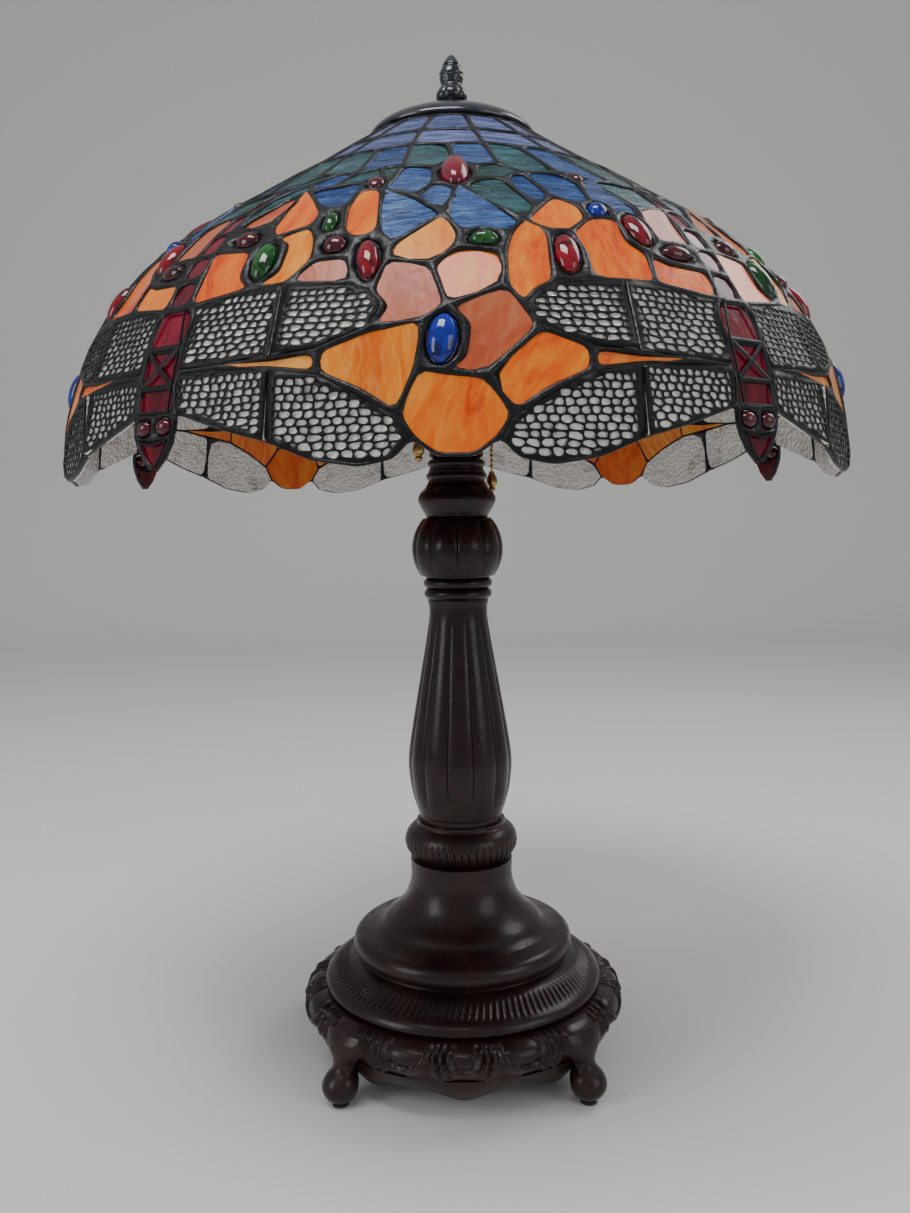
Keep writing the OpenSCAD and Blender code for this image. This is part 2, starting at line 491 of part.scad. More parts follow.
module neck_cup() {
    difference() {
        union() {
            turned(concat([[19.4, z_ball]], smooth([[20, 347.5], [22.4, 351.5], [24.4, 355.5]], 3),
                [[24.7, 357], [24.4, 358.8]], smooth([[23, 361.5], [20, 364.5], [18.6, 367]], 3),
                [[17.8, 368.5], [17.8, 375], [17, 376], [17, z_neck]]), bore_r);
            ring(16.6, 371.7, 2.6);
            ring(16, z_neck - 2.4, 2.2);
        }
        translate([0, 0, z_ball - 10]) cylinder(r = bore_r, h = 60, $fn = 64);
    }
}

// ---- sockets ----
module at_sockets() {
    for (a = [0, 180]) rotate(a) translate([10, 0, 396]) rotate([0, 90 - socket_tilt, 0]) children();
}
module socket_cluster() {
    difference() {
        union() {
            turned([[14, z_neck], [17, z_neck + 2], [17, z_neck + 10], [14, z_cluster + 2],
                [8, z_cluster + 6]], 0);
            at_sockets() cylinder(r = 6, h = 14, $fn = 48);
        }
        translate([0, 0, z_neck - 1]) cylinder(r = tube_r + 0.2, h = z_cluster - z_neck - 8, $fn = 64);
        translate([0, 0, z_cluster - 4]) cylinder(r = spindle_d / 2 + 0.2, h = 30, $fn = 48);
    }
}
module socket_shells() {
    at_sockets() translate([0, 0, 14]) difference() {
        union() {
            cylinder(r1 = 13, r2 = screw_r + 4.6, h = 8, $fn = 64);
            translate([0, 0, 8]) cylinder(r = screw_r + 4.6, h = 46, $fn = 64);
            translate([0, 0, 50]) rotate_extrude($fn = 64) translate([screw_r + 4.6, 0])
                circle(r = 1, $fn = 24);
        }
        translate([0, 0, 1]) cylinder(r1 = 12, r2 = screw_r + 3.8, h = 7.6, $fn = 64);
        translate([0, 0, 8.5]) cylinder(r = screw_r + 3.8, h = 60, $fn = 64);
    }
}
module socket_bases() {
    at_sockets() translate([0, 0, 23]) difference() {
        cylinder(r = screw_r + 1.6, h = 14, $fn = 64);
        translate([0, 0, 13]) cylinder(r = screw_r + 1, h = 2, $fn = 64);
        // pocket for the middle contact
        translate([0, 0, 11]) cylinder(r = 6, h = 5, $fn = 48);
    }
}
module socket_liners() {
    at_sockets() translate([0, 0, 23]) tube(screw_r + 3.5, screw_r + 2.3, 45);
}
module screw_shells() {
    at_sockets() translate([0, 0, 36.2]) tube(screw_r + 0.6, screw_r, 26);
}
module socket_contacts() {
    at_sockets() translate([0, 0, 34]) cylinder(r1 = 4.5, r2 = 3, h = 2, $fn = 32);
}
module chain_switches() {
    at_switches() difference() {
        union() {
            translate([0, 12.5, 0]) rotate([-90, 0, 0]) cylinder(r = 3.6, h = 13, $fn = 48);
            translate([0, 22, -5.5]) cylinder(r1 = 3, r2 = 3.4, h = 6, $fn = 48);
        }
        translate([0, 22, -6]) cylinder(r = 1.8, h = 7.5, $fn = 32);
        // hollow of the shell it is fixed in
        rotate([0, 90 - socket_tilt, 0]) translate([0, 0, -3])
            cylinder(r1 = 13.1, r2 = screw_r + 4.75, h = 8, $fn = 64);
    }
}
// middle of each switch, on the side of the shell
module at_switches() {
    for (a = [0, 180]) rotate(a)
        translate([10 + 17 * sin(90 - socket_tilt), 0, 396 + 17 * cos(90 - socket_tilt)]) children();
}
chain_x = 10 + 17 * cos(socket_tilt);
chain_y = 22;
chain_z = 396 + 17 * sin(socket_tilt) - 1;
module chain(l) {
    n = floor(l / 3.2);
    translate([0, 0, -l]) cylinder(r = 0.5, h = l, $fn = 16);
    for (i = [0 : n - 1]) translate([0, 0, -0.4 - i * l / n]) sphere(r = 1.2, $fn = 24);
}
module knob() {
    rotate_extrude($fn = 48) polygon(smooth([[0.01, -14], [1.6, -13.4], [2.4, -12], [1.9, -10.6], [3.4, -8.6],
        [3.6, -6.5], [3, -4], [1.8, -2], [1.6, -0.6], [0.01, -0.2]], 3));
}
module spindle() {
    translate([0, 0, z_cluster - 3.9])
        cylinder(r = spindle_d / 2, h = seat_z + 49 - z_cluster + 3.9, $fn = 48);
}
module shade_seat() {
    translate([0, 0, seat_z - 6]) difference() {
        union() {
            cylinder(r = 11, h = 6, $fn = 64);
            translate([0, 0, -6]) cylinder(r = 7, h = 6, $fn = 6);
        }
        translate([0, 0, -7]) cylinder(r = spindle_d / 2 + 0.05, h = 20, $fn = 48);
    }
}
module top_ring() {
    translate([0, 0, seat_z + 0.05]) {
        difference() {
            union() {
                cylinder(r = 10, h = 6, $fn = 64);
                for (a = [0 : 90 : 270]) rotate(a) translate([6, -4, 0]) cube([top_r - 8, 8, 3]);
            }
            translate([0, 0, -1]) cylinder(r = spindle_d / 2 + 0.07, h = 20, $fn = 48);
        }
        difference() {
            cylinder(r = top_r - 2.2, h = 12.2, $fn = 96);
            translate([0, 0, -1]) cylinder(r = top_r - 6, h = 20, $fn = 96);
        }
    }
}
cap_r = cap_d / 2;
cap_z = seat_z + 12.35;
module vented_cap() {
    translate([0, 0, cap_z]) rotate_extrude($fn = 96) polygon(concat(
        [[top_r - 7, 0], [cap_r - 0.8, 0]],
        smooth([[cap_r, 0.8], [cap_r - 0.2, 2.6], [cap_r - 3.5, 6.2], [cap_r - 11, 10.4], [cap_r - 21, 14.4],
            [cap_r - 31, 17.2]], 3),
        [[13, 18.6], [spindle_d / 2 + 0.08, 18.6], [spindle_d / 2 + 0.08, 16.6], [13, 16.6]],
        smooth([[cap_r - 31, 15.4], [cap_r - 22, 12.7], [cap_r - 12, 8.7], [cap_r - 5.4, 4.8],
            [cap_r - 3.6, 2.4]], 2), [[cap_r - 3.6, 1.6], [top_r - 7, 1.6]]));
}
fin_z = cap_z + 18.65;
module finial_washer() {
    translate([0, 0, fin_z]) tube(8, spindle_d / 2 + 0.08, 1.8);
}
module finial() {
    k = finial_h / 33;
    translate([0, 0, fin_z + 1.85]) difference() {
        union() {
            rotate_extrude($fn = 64) polygon(concat([[0.01, 0], [6, 0]],
                smooth([[6.4, 1.5 * k], [7.6, 3 * k], [9, 5 * k], [9.2, 8.5 * k], [8.2, 12.5 * k],
                    [6.3, 16 * k], [6.6, 19.6 * k], [6, 23 * k], [4.7, 26.7 * k], [2.9, 30 * k],
                    [0.01, 32.4 * k]], 3)));
            // two tiers of leaf tips
            for (a = [0 : 60 : 300]) rotate(a) {
                translate([7.2, 0, 9 * k]) sphere(r = 2.7, $fn = 32);
                rotate(30) translate([4.6, 0, 19.5 * k]) sphere(r = 2.8, $fn = 32);
            }
        }
        translate([0, 0, -1]) cylinder(r = spindle_d / 2 + 0.05, h = 19, $fn = 48);
    }
}

color([0.1, 0.1, 0.1]) foot_pads();
color([0.16, 0.1, 0.08]) base_casting();
color([0.4, 0.4, 0.42]) ballast_disc();
color([0.1, 0.1, 0.1]) base_cover();
color([0.08, 0.08, 0.08]) cord_bushing();
color([0.6, 0.6, 0.62]) lamp_tube();
color([0.6, 0.5, 0.3]) tube_nut();
color([0.6, 0.6, 0.62]) tube_washer();
color([0.16, 0.1, 0.08]) base_collar();
color([0.16, 0.1, 0.08]) stem_vase();
color([0.16, 0.1, 0.08]) stem_rings();
color([0.16, 0.1, 0.08]) stem_ball();
color([0.16, 0.1, 0.08]) neck_cup();
color([0.16, 0.1, 0.08]) socket_cluster();
color([0.7, 0.55, 0.3]) socket_shells();
color([0.8, 0.76, 0.66]) socket_liners();
color([0.1, 0.1, 0.1]) socket_bases();
color([0.75, 0.72, 0.66]) screw_shells();
color([0.75, 0.6, 0.35]) socket_contacts();
color([0.7, 0.55, 0.3]) chain_switches();
color([0.6, 0.6, 0.62]) spindle();
color([0.6, 0.5, 0.3]) shade_seat();
color([0.7, 0.55, 0.3])  // pull_chain_right
    translate([chain_x, chain_y, chain_z]) chain(chain_l);
color([0.7, 0.55, 0.3])  // pull_knob_right
    translate([chain_x, chain_y, chain_z - chain_l]) knob();
color([0.7, 0.55, 0.3])  // pull_chain_left
    translate([-chain_x, -chain_y, chain_z]) chain(chain_l - 18);
color([0.7, 0.55, 0.3])  // pull_knob_left
    translate([-chain_x, -chain_y, chain_z - chain_l + 18]) knob();
color([0.7, 0.55, 0.3]) top_ring();
color([0.12, 0.12, 0.13])  // lead_lines
    net(P, panes, jewels, [0 : repeats - 1], lead_w, lead_h, 1.6, 0);
color([0.8, 0.8, 0.76, 0.6]) sheet(wing_p, glass_t);  // wing_glass
color([0.5, 0.08, 0.18]) sheet(red_p, glass_t);  // red_glass
color([0.9, 0.5, 0.22]) sheet(orange_p, glass_t);  // orange_glass
color([0.86, 0.6, 0.26]) sheet(amber_p, glass_t);  // amber_glass
color([0.85, 0.55, 0.42]) sheet(salmon_p, glass_t);  // salmon_glass
color([0.25, 0.4, 0.62]) sheet(blue_p, glass_t);  // blue_glass
color([0.3, 0.5, 0.52]) sheet(teal_p, glass_t);  // teal_glass
color([0.55, 0.58, 0.75]) sheet(border_p, glass_t);  // border_glass
color([0.7, 0.05, 0.1]) gems(red_j);  // red_jewels
color([0.3, 0.02, 0.08]) gems(garnet_j);  // garnet_jewels
color([0.1, 0.45, 0.15]) gems(green_j);  // green_jewels
color([0.08, 0.15, 0.8]) gems(blue_j);  // blue_jewels
color([0.6, 0.03, 0.1]) gems(eye_j);  // eye_jewels
color([0.55, 0.1, 0.15]) gems(cabochon_j);  // cabochons
color([0.1, 0.1, 0.1]) for (j = [0 : repeats - 1])  // wing_filigree
    for (side = [0, 1])
        net([for (p = WF) [side == 0 ? p[0] : 72 - p[0], p[1]]], wing_cells, [], [j : j], 2.2,
            wing_plate_z + plate_t, -wing_plate_z, wing_plate_z + plate_t / 2);
color([0.1, 0.1, 0.1]) for (j = [0 : repeats - 1])  // body_filigree
    net(BF, body_cells, [], [j : j], 2.2, plate_z + plate_t, -plate_z, plate_z + plate_t / 2);
color([0.05, 0.06, 0.08]) vented_cap();
color([0.7, 0.55, 0.3]) finial_washer();
color([0.05, 0.06, 0.08]) finial();
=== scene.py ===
# Table lamp with a leaded dragonfly shade on a dark cast stem.
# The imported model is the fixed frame; the pieces below are made over it, in metres.
import math
import random
import bmesh
import bpy
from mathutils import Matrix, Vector


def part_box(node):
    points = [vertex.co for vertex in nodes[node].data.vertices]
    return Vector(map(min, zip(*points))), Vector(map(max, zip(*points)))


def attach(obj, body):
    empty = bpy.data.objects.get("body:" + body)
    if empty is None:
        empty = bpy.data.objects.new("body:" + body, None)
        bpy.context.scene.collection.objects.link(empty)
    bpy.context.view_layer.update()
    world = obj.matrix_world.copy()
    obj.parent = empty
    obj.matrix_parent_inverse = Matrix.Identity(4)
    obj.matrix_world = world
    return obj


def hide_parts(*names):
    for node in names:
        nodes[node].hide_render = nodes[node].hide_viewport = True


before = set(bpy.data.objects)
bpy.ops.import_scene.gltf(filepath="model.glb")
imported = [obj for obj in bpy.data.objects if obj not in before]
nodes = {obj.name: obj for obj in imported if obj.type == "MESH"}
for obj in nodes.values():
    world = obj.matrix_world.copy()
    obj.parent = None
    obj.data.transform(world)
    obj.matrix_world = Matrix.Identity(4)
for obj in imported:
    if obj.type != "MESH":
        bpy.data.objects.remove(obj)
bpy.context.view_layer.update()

# ---- camera ----
# It stands in front of the lamp at two thirds of its height and looks a little down.
camera = bpy.data.objects.new("camera", bpy.data.cameras.new("camera"))
camera.data.lens = 29.9
camera.data.sensor_width = 36
camera.location = (0, -0.6428, 0.3463)
camera.rotation_euler = [math.radians(a) for a in (84.9, 0.753, 0.116)]
bpy.context.scene.collection.objects.link(camera)
bpy.context.scene.camera = camera

# ---- floor, wall and lights ----
# A pale sweep: a floor that bends up into a wall behind the lamp.
sweep_mesh = bpy.data.meshes.new("sweep")
bend = [math.pi / 24 * k for k in range(1, 13)]
sweep_line = [(-3.5, 0.0), (2.1, 0.0)]
sweep_line += [(2.1 + 0.6 * math.sin(a), 0.6 - 0.6 * math.cos(a)) for a in bend]
sweep_line += [(2.7, 4.0)]
sweep_points = [(x, y, z) for y, z in sweep_line for x in (-4, 4)]
sweep_faces = [(2 * k, 2 * k + 1, 2 * k + 3, 2 * k + 2) for k in range(len(sweep_line) - 1)]
sweep_mesh.from_pydata(sweep_points, [], sweep_faces)
sweep_mesh.shade_smooth()
sweep = bpy.data.objects.new("sweep", sweep_mesh)
bpy.context.scene.collection.objects.link(sweep)
paper = bpy.data.materials.new("paper")
paper.use_nodes = True
paper.node_tree.nodes["Principled BSDF"].inputs["Base Color"].default_value = (0.74, 0.73, 0.7, 1)
paper.node_tree.nodes["Principled BSDF"].inputs["Roughness"].default_value = 0.9
sweep.data.materials.append(paper)


def area_light(name, place, aim, width, height, power):
    lamp = bpy.data.lights.new(name, "AREA")
    lamp.shape = "RECTANGLE"
    lamp.size = width
    lamp.size_y = height
    lamp.energy = power
    holder = bpy.data.objects.new(name, lamp)
    holder.location = place
    holder.rotation_euler = (Vector(aim) - Vector(place)).to_track_quat("-Z", "Y").to_euler()
    bpy.context.scene.collection.objects.link(holder)


area_light("ceiling", (-0.25, -0.55, 1.75), (0, 0, 0.4), 0.9, 0.5, 17)
area_light("window", (-1.5, -0.9, 0.9), (0, 0, 0.4), 0.7, 1.0, 9)
area_light("fill", (1.5, -1.1, 0.9), (0, 0, 0.35), 1.0, 1.0, 6)
area_light("behind", (0.9, 0.45, 1.3), (0, 0, 0.5), 0.7, 0.7, 6)
world = bpy.data.worlds.new("room")
world.use_nodes = True
world.node_tree.nodes["Background"].inputs["Color"].default_value = (0.93, 0.95, 1.0, 1)
world.node_tree.nodes["Background"].inputs["Strength"].default_value = 0.42
bpy.context.scene.world = world


# ---- workshop: how pieces and finishes are made ----
def new_piece(name, bm, body, finish, stands_for=(), smooth=40):
    """Turns a bmesh into a piece that rides on a body and takes a finish."""
    bmesh.ops.recalc_face_normals(bm, faces=bm.faces)
    mesh = bpy.data.meshes.new(name)
    bm.to_mesh(mesh)
    bm.free()
    mesh.shade_smooth()
    mesh.set_sharp_from_angle(angle=math.radians(smooth))
    piece = bpy.data.objects.new(name, mesh)
    bpy.context.scene.collection.objects.link(piece)
    mesh.materials.append(finish)
    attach(piece, body)
    if stands_for:
        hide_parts(*stands_for)
    return piece


def paint(finish, *names):
    """Gives CAD nodes whose shape is right a finish."""
    for name in names:
        if not nodes[name].material_slots:
            nodes[name].data.materials.append(finish)
        for place in nodes[name].material_slots:
            place.material = finish


class Finish:
    """A node material that is put together step by step."""

    def __init__(self, name, rough, metal=0.0, clear=0.0, coat=0.0, ior=1.5, gloss=0.5):
        self.material = bpy.data.materials.new(name)
        self.material.use_nodes = True
        self.tree = self.material.node_tree
        self.shader = self.tree.nodes["Principled BSDF"]
        self.shader.inputs["Roughness"].default_value = rough
        self.shader.inputs["Metallic"].default_value = metal
        self.shader.inputs["Transmission Weight"].default_value = clear
        self.shader.inputs["Coat Weight"].default_value = coat
        self.shader.inputs["Coat Roughness"].default_value = 0.12
        self.shader.inputs["IOR"].default_value = ior
        self.shader.inputs["Specular IOR Level"].default_value = gloss
        self.place = self.add("ShaderNodeTexCoord").outputs["Object"]

    def add(self, kind, sockets=None, **settings):
        made = self.tree.nodes.new(kind)
        for key, value in settings.items():
            setattr(made, key, value)
        for key, value in (sockets or {}).items():
            if isinstance(value, bpy.types.NodeSocket):
                self.tree.links.new(value, made.inputs[key])
            else:
                made.inputs[key].default_value = value
        return made

    def lay(self, stretch):
        """Each pane's own grain direction, carried by the mesh, stretched along it."""
        grain = self.add("ShaderNodeAttribute", attribute_name="lay").outputs["Vector"]
        return self.add("ShaderNodeMapping", {"Vector": grain, "Scale": stretch}).outputs["Vector"]

    def tone(self):
        return self.add("ShaderNodeAttribute", attribute_name="tone").outputs["Fac"]

    def noise(self, vector, scale, detail=4.0, rough=0.55, bend=0.0):
        made = self.add("ShaderNodeTexNoise", {"Vector": vector, "Scale": scale, "Detail": detail,
                                               "Roughness": rough, "Distortion": bend})
        return made.outputs["Fac"]

    def cells(self, vector, scale, feature="F1"):
        made = self.add("ShaderNodeTexVoronoi", {"Vector": vector, "Scale": scale}, feature=feature)
        return made.outputs["Distance"]

    def sum(self, a, b, operation="ADD"):
        return self.add("ShaderNodeMath", {0: a, 1: b}, operation=operation).outputs[0]

    def ramp(self, value, stops):
        made = self.add("ShaderNodeValToRGB", {"Fac": value})
        band = made.color_ramp
        while len(band.elements) < len(stops):
            band.elements.new(0.5)
        for element, (at, colour) in zip(band.elements, stops):
            element.position = at
            element.color = (*colour, 1) if len(colour) == 3 else colour
        return made.outputs["Color"]

    def grey(self, value, low, high, start=0.3, end=0.7):
        made = self.add("ShaderNodeMapRange", {"Value": value, "From Min": start, "From Max": end,
                                               "To Min": low, "To Max": high})
        return made.outputs["Result"]

    def mix(self, share, a, b):
        made = self.add("ShaderNodeMix", {"Factor": share}, data_type="RGBA")
        for socket, value in ((made.inputs[6], a), (made.inputs[7], b)):
            if isinstance(value, bpy.types.NodeSocket):
                self.tree.links.new(value, socket)
            else:
                socket.default_value = (*value, 1)
        return made.outputs[2]

    def set(self, socket, value):
        self.tree.links.new(value, self.shader.inputs[socket])

    def bump(self, height, strength, distance):
        made = self.add("ShaderNodeBump", {"Height": height, "Strength": strength, "Distance": distance})
        self.tree.links.new(made.outputs["Normal"], self.shader.inputs["Normal"])
        if "Coat Normal" in self.shader.inputs:
            self.tree.links.new(made.outputs["Normal"], self.shader.inputs["Coat Normal"])


# ---- sheet glass ----
# Hand-rolled art glass, cut to the pattern and wrapped in copper foil. Each pane is cut from its own place
# in the sheet, so it has its own grain and tone. Its edge runs on under the solder.
def joined(node, reach=2e-6):
    """A CAD node's loose triangles as one joined mesh with flat faces whole."""
    bm = bmesh.new()
    bm.from_mesh(nodes[node].data)
    bmesh.ops.remove_doubles(bm, verts=bm.verts, dist=reach)
    bmesh.ops.dissolve_limit(bm, angle_limit=math.radians(0.6), verts=bm.verts, edges=bm.edges)
    bm.normal_update()
    return bm


def islands(bm):
    """The separate solids of a mesh, as lists of faces."""
    seen = set()
    groups = []
    for first in bm.faces:
        if first in seen:
            continue
        seen.add(first)
        group = [first]
        for face in group:
            for edge in face.edges:
                for other in edge.link_faces:
                    if other not in seen:
                        seen.add(other)
                        group.append(other)
        groups.append(group)
    return groups


def outward(face):
    """True for a face that looks away from the inside of the shade."""
    middle = face.calc_center_median()
    return face.normal.dot(Vector((middle.x, middle.y, 0.1))) > 0


def pane_axes(normal):
    """Level and rising direction in the plane of a pane."""
    level = Vector((0, 0, 1)).cross(normal).normalized()
    return level, normal.cross(level)


def glass_panes(node, name, finish, grain, spread, seed, tuck=0.0008):
    chance = random.Random(seed)
    bm = joined(node)
    lay = bm.verts.layers.float_vector.new("lay")
    tone = bm.verts.layers.float.new("tone")
    for group in islands(bm):
        caps = sorted(group, key=lambda f: f.calc_area())[-2:]
        front = caps[0] if outward(caps[0]) else caps[1]
        level, rise = pane_axes(front.normal)
        turn = math.radians(grain + chance.uniform(-spread, spread))
        along = level * math.cos(turn) + rise * math.sin(turn)
        across = front.normal.cross(along)
        start = Vector((chance.uniform(-4, 4), chance.uniform(-4, 4), chance.uniform(-4, 4)))
        shade_of = chance.uniform(-1, 1)
        verts = {v for f in group for v in f.verts}
        moves = {}
        for v in verts:
            walls = [f.normal for f in v.link_faces if f not in caps]
            if len(walls) > 1:
                lean = (walls[0] + walls[1]) / max(0.35, 1 + walls[0].dot(walls[1]))
                moves[v] = lean * tuck
            v[tone] = shade_of
        for v, move in moves.items():
            v.co += move
        for v in verts:
            v[lay] = Vector((v.co.dot(along), v.co.dot(across), v.co.dot(front.normal))) + start
    return new_piece(name, bm, "shade", finish, (node,), smooth=20)


def art_glass(name, colours, streak, wave, clear, rough, ripple, wisp=(0.9, 0.9, 0.88), wisps=0.15):
    """Streaky sheet glass. streak and wave stretch the colour and the surface along the pane's grain."""
    glass = Finish(name, rough, clear=clear, coat=0.04, gloss=0.25)
    grain = glass.lay(streak)
    cloud = glass.noise(grain, 26, 5, 0.6, 1.4)
    tinted = glass.sum(cloud, glass.sum(glass.tone(), 0.09, "MULTIPLY"))
    steps = [0.3 + 0.4 * k / (len(colours) - 1) for k in range(len(colours))]
    colour = glass.ramp(tinted, list(zip(steps, colours)))
    veil = glass.grey(glass.noise(grain, 55, 6, 0.62, 2.2), 0, wisps, 0.5, 0.72)
    glass.set("Base Color", glass.mix(veil, colour, wisp))
    waves = glass.noise(glass.lay(wave), 90, 3, 0.5, 0.6)
    seeds = glass.noise(grain, 240, 2)
    glass.bump(glass.sum(waves, glass.sum(seeds, 0.08, "MULTIPLY")), ripple, 0.002)
    return glass.material


orange = art_glass("orange_glass",
                   [(0.56, 0.04, 0.003), (0.78, 0.11, 0.005),
                    (0.84, 0.18, 0.009), (0.88, 0.26, 0.02)],
                   (1, 3.4, 1), (1, 2, 1), 0.1, 0.22, 0.12, (0.92, 0.5, 0.1), 0.22)
amber = art_glass("amber_glass",
                  [(0.68, 0.12, 0.006), (0.8, 0.22, 0.012),
                   (0.84, 0.3, 0.024), (0.86, 0.38, 0.05)],
                  (1, 3, 1), (1, 2, 1), 0.1, 0.22, 0.12, (0.9, 0.6, 0.2), 0.22)
salmon = art_glass("salmon_glass",
                   [(0.36, 0.05, 0.014), (0.44, 0.085, 0.03),
                    (0.48, 0.12, 0.05), (0.52, 0.17, 0.085)],
                   (1, 2.6, 1), (1, 2, 1), 0.06, 0.26, 0.12, (0.6, 0.24, 0.12), 0.2)
ruby = art_glass("red_glass", [(0.06, 0.0, 0.005), (0.14, 0.001, 0.012), (0.24, 0.003, 0.024)],
                 (1, 2, 1), (1, 1.5, 1), 0.15, 0.14, 0.1, (0.4, 0.03, 0.08), 0.1)
blue = art_glass("blue_glass",
                 [(0.003, 0.012, 0.06), (0.01, 0.04, 0.17),
                  (0.024, 0.08, 0.27), (0.07, 0.18, 0.4)],
                 (1, 5, 1), (1, 6, 1), 0.15, 0.12, 0.85, (0.3, 0.48, 0.66), 0.22)
teal = art_glass("teal_glass",
                 [(0.004, 0.024, 0.024), (0.01, 0.06, 0.062),
                  (0.022, 0.1, 0.12), (0.07, 0.19, 0.26)],
                 (1, 5, 1), (1, 6, 1), 0.15, 0.12, 0.85, (0.26, 0.42, 0.5), 0.22)
# The border strips' pale lilac and strong pale wisps are partly the glass's own blue and partly painted
# reflection of the ceiling on these strips near the top.
lilac_and_painted_sky = art_glass("border_glass",
                  [(0.02, 0.035, 0.12), (0.06, 0.085, 0.24),
                   (0.13, 0.16, 0.37), (0.3, 0.32, 0.56)],
                  (1, 5, 1), (1, 6, 1), 0.15, 0.1, 0.6, (0.6, 0.62, 0.8), 0.3)
glass_panes("orange_glass", "orange_panes", orange, 80, 25, 11)
glass_panes("amber_glass", "amber_panes", amber, 90, 30, 12)
glass_panes("salmon_glass", "salmon_panes", salmon, 90, 40, 13)
glass_panes("red_glass", "red_panes", ruby, 90, 20, 14)
glass_panes("blue_glass", "blue_panes", blue, 0, 16, 15)
glass_panes("teal_glass", "teal_panes", teal, 0, 16, 16)
glass_panes("border_glass", "border_panes", lilac_and_painted_sky, 0, 6, 17)

# ---- wing glass ----
# Colourless hammered glass: pressed with a fine pebble pattern that breaks up what is behind it.
hammered = Finish("wing_glass", 0.12, clear=0.16, coat=0.5)
pebbles = hammered.cells(hammered.lay((1, 1, 1)), 420)
dimples = hammered.noise(hammered.lay((1, 1, 1)), 260, 3)
hammered.bump(hammered.sum(pebbles, hammered.sum(dimples, 0.8, "MULTIPLY")), 0.9, 0.0012)
# Painted reflection: the colourless glass gets a mottled, mostly opaque near-white colour that stands in for
# the glare and light seen in it.
painted_glare_mottle = hammered.noise(hammered.lay((1, 1.6, 1)), 60, 4, 0.6, 0.8)
hammered.set("Base Color", hammered.ramp(painted_glare_mottle, [(0.32, (0.6, 0.6, 0.55)), (0.46, (0.93, 0.92, 0.87)),
                                                 (0.6, (1.0, 0.99, 0.96))]))
glass_panes("wing_glass", "wing_panes", hammered.material, 0, 20, 18)

# ---- solder lines ----
# Copper-foil seams run with solder and blackened: a round bead on every seam, a thicker drop where seams
# meet. The bead is made from the CAD net, cut into short lengths and rounded.
solder = Finish("solder", 0.34, metal=0.1, coat=0.0, gloss=0.32)
runs = solder.noise(solder.place, 160, 4, 0.6)
spots = solder.noise(solder.place, 420, 3)
solder.set("Base Color", solder.ramp(runs, [(0.4, (0.002, 0.002, 0.003)), (0.62, (0.007, 0.007, 0.009)),
                                            (0.76, (0.05, 0.052, 0.056))]))
solder.set("Roughness", solder.grey(spots, 0.26, 0.5))
solder.bump(solder.sum(runs, solder.sum(spots, 0.4, "MULTIPLY")), 0.5, 0.0012)

ring_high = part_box("top_ring")[1]
dome_top_r = ring_high[0] + 0.0022
dome_top_z = ring_high[2] - 0.00225
dome_rim_r = 0.230
cone_angle = math.radians(33)
bend_r = 0.155
cone_length = (dome_rim_r - dome_top_r - bend_r * (1 - math.sin(cone_angle))) / math.cos(cone_angle)
bend_middle_r = dome_rim_r - bend_r
bend_middle_z = dome_top_z - cone_length * math.sin(cone_angle) - bend_r * math.cos(cone_angle)


def lift_of(point):
    """How far a point stands outside the dome."""
    r = math.hypot(point.x, point.y)
    if point.z < bend_middle_z:
        return r - dome_rim_r
    away = Vector((r - bend_middle_r, point.z - bend_middle_z))
    if math.atan2(away.x, away.y) < cone_angle:
        return (r - dome_top_r) * math.sin(cone_angle) + (point.z - dome_top_z) * math.cos(cone_angle)
    return away.length - bend_r


def solder_bead():
    chance = random.Random(7)
    bm = bmesh.new()
    bm.from_mesh(nodes["lead_lines"].data)
    bmesh.ops.remove_doubles(bm, verts=bm.verts, dist=2e-6)
    bmesh.ops.join_triangles(bm, faces=bm.faces, angle_face_threshold=0.35, angle_shape_threshold=0.9,
                             cmp_seam=False)
    kind = bm.verts.layers.int.new("kind")
    for v in bm.verts:
        lift = lift_of(v.co)
        v[kind] = 1 if lift > 0.0011 else -1 if lift < -0.0009 else 0
    # the edge of the bead lies on the face of the glass, its ridge a little higher
    raised = {1: 0.0009, 0: 0.0012, -1: 0.0}
    for v in bm.verts:
        away = Vector((v.co.x, v.co.y, 0.1)).normalized()
        v.co += away * raised[v[kind]]
    long_edges = [e for e in bm.edges if e.verts[0][kind] == e.verts[1][kind] and e.calc_length() > 0.007]
    for pieces in range(2, 10):
        part = [e for e in long_edges if round(e.calc_length() / 0.0055) == pieces or
                (pieces == 9 and round(e.calc_length() / 0.0055) > 9)]
        if part:
            bmesh.ops.subdivide_edges(bm, edges=part, cuts=pieces - 1, use_grid_fill=False)
    crease = bm.edges.layers.float.new("crease_edge")
    for e in bm.edges:
        lifts = [lift_of(v.co) for v in e.verts]
        if min(lifts) > 0.0002 and max(lifts) < 0.0019:
            e[crease] = 1.0
    for v in bm.verts:
        if lift_of(v.co) > 0.0023:
            away = Vector((v.co.x, v.co.y, 0.1)).normalized()
            v.co += away * chance.uniform(-0.0003, 0.0003)
    piece = new_piece("solder_bead", bm, "shade", solder.material, ("lead_lines",), smooth=180)
    rounding = piece.modifiers.new("rounding", "SUBSURF")
    rounding.levels = 1
    rounding.render_levels = 1
    return piece


solder_bead()

# ---- jewels ----
# Pressed glass ovals set in the solder: a glossy domed face, deep colour with lighter streaks inside.
def jewel_glass(name, dark, bright, clear=0.25):
    jewel = Finish(name, 0.04, clear=clear, coat=0.1, ior=1.5)
    depth = jewel.noise(jewel.place, 95, 3, 0.5, 1.6)
    jewel.set("Base Color", jewel.ramp(depth, [(0.35, dark), (0.62, bright)]))
    jewel.bump(jewel.noise(jewel.place, 60, 2), 0.08, 0.002)
    return jewel.material


